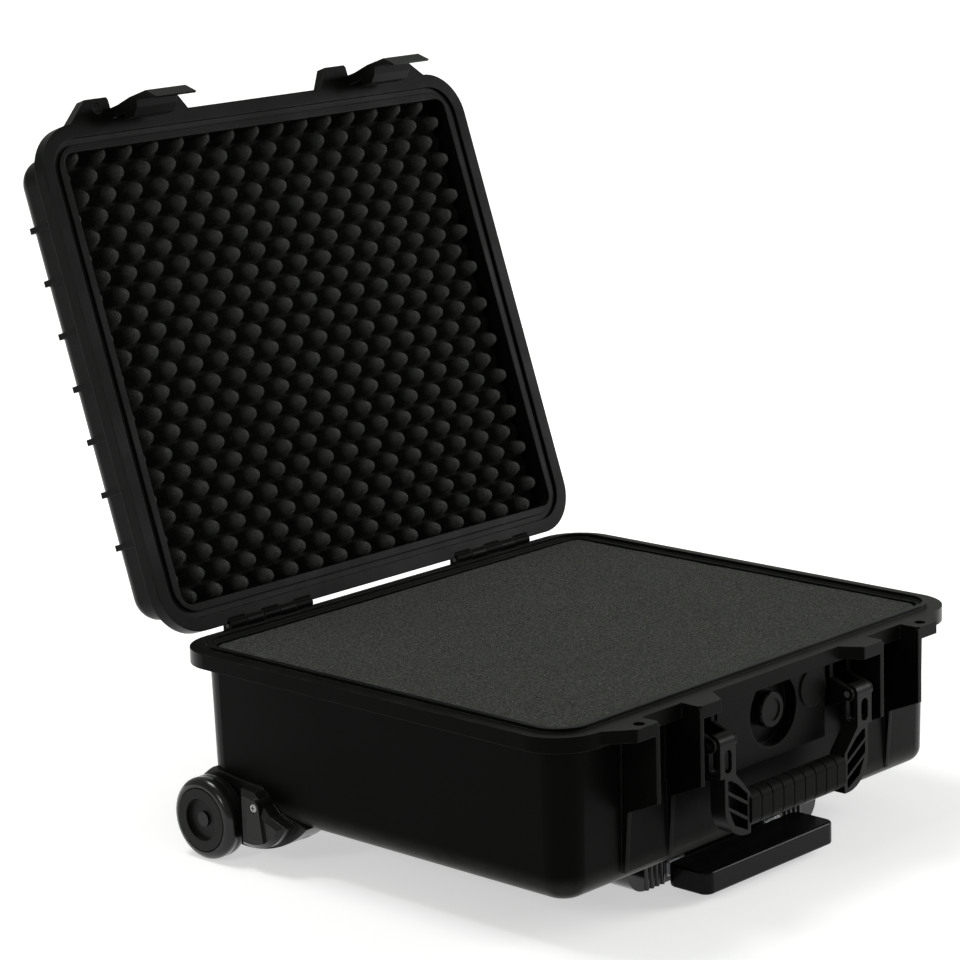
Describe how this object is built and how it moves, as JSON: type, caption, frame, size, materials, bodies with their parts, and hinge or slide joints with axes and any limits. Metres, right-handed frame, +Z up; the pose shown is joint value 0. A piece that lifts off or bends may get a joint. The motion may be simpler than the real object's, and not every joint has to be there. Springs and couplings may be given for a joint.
{
  "type": "wheeled laptop hard case",
  "caption": "Black moulded hard case with a hinged lid, side latches, foam lining, carry handle, purge valve, pull-out trolley bar and rear wheels.",
  "frame": {"origin": "middle of the base shell's flat underside, on the face of its gate pad, 37 mm above the floor that the case stands on", "axes": "+X to the right along the hinges as seen from the latch side, +Y from the latches to the hinges, +Z up"},
  "size_m": [0.487, 0.6104, 0.5856],
  "materials": {
    "shell_black": "fine pebbled black polypropylene, satin",
    "latch_black": "smooth satin black nylon",
    "handle_black": "satin black nylon",
    "grip_rubber": "black rubber, ringed",
    "foam_grey": "dark grey open-cell foam",
    "crate_foam": "dark grey convoluted foam",
    "seal_rubber": "black rubber",
    "valve_black": "satin black nylon",
    "steel": "plain stainless steel",
    "tube_aluminium": "satin anodised tube",
    "trolley_black": "satin black plastic",
    "trolley_gloss": "glossy black plastic",
    "wheel_black": "glossy black plastic",
    "tyre_black": "smooth black rubber"
  },
  "bodies": {
    "base": {"base_shell": "shell_black", "base_foam_pad": "foam_grey", "base_foam_lower": "foam_grey", "base_foam_upper": "foam_grey", "purge_valve_body": "valve_black", "purge_valve_seal": "seal_rubber", "purge_valve_nut": "valve_black", "hinge_pins": "steel", "handle_pins": "steel", "wheel_bracket_left": "trolley_black", "wheel_bracket_right": "trolley_black", "wheel_axle_left": "steel", "wheel_axle_right": "steel", "trolley_guide": "trolley_black", "trolley_anchor": "trolley_black", "trolley_outer_tubes": "tube_aluminium", "foot_pads": "seal_rubber", "mounting_screws": "steel"},
    "lid": {"lid_shell": "shell_black", "lid_gasket": "seal_rubber", "lid_foam": "crate_foam", "latch_pin_left": "steel", "latch_pin_right": "steel"},
    "latch_left": {"latch_lever_left": "latch_black"},
    "latch_right": {"latch_lever_right": "latch_black"},
    "carry_handle": {"handle_frame": "handle_black", "handle_grip": "grip_rubber"},
    "purge_knob": {"purge_valve_knob": "valve_black"},
    "wheel_left": {"wheel_hub_left": "wheel_black", "wheel_tyre_left": "tyre_black"},
    "wheel_right": {"wheel_hub_right": "wheel_black", "wheel_tyre_right": "tyre_black"},
    "trolley_middle": {"trolley_middle_tubes": "tube_aluminium"},
    "trolley_inner": {"trolley_inner_tubes": "tube_aluminium", "trolley_grip": "trolley_gloss"},
    "release_button": {"trolley_button": "trolley_gloss"}
  },
  "joints": [
    {"name": "lid_hinge", "type": "hinge", "parent": "base", "child": "lid", "pos_m": [0, 0.2068, 0.132], "axis": [1, 0, 0], "range_deg": [0, 108.5]},
    {"name": "latch_left_hinge", "type": "hinge", "parent": "lid", "child": "latch_left", "pos_m": [-0.1325, 0.34727, 0.52536], "axis": [-1, 0, 0], "range_deg": [0, 95]},
    {"name": "latch_right_hinge", "type": "hinge", "parent": "lid", "child": "latch_right", "pos_m": [0.1325, 0.34727, 0.52536], "axis": [-1, 0, 0], "range_deg": [0, 95]},
    {"name": "carry_handle_hinge", "type": "hinge", "parent": "base", "child": "carry_handle", "pos_m": [0, -0.219, 0.0945], "axis": [-1, 0, 0], "range_deg": [0, 95]},
    {"name": "purge_knob_turn", "type": "hinge", "parent": "base", "child": "purge_knob", "pos_m": [0, -0.2, 0.096], "axis": [0, -1, 0], "range_deg": [0, 180]},
    {"name": "wheel_left_spin", "type": "hinge", "parent": "base", "child": "wheel_left", "pos_m": [-0.233, 0.172, -0.004], "axis": [1, 0, 0], "continuous": true},
    {"name": "wheel_right_spin", "type": "hinge", "parent": "base", "child": "wheel_right", "pos_m": [0.233, 0.172, -0.004], "axis": [1, 0, 0], "continuous": true},
    {"name": "trolley_middle_slide", "type": "slide", "parent": "base", "child": "trolley_middle", "axis": [0, -1, 0], "range_m": [0, 0.23]},
    {"name": "trolley_inner_slide", "type": "slide", "parent": "trolley_middle", "child": "trolley_inner", "axis": [0, -1, 0], "range_m": [0, 0.23]},
    {"name": "release_button_press", "type": "slide", "parent": "trolley_inner", "child": "release_button", "axis": [0, 0, 1], "range_m": [0, 0.003], "stiffness_N_per_m": 400, "springref_m": -0.002}
  ]
}
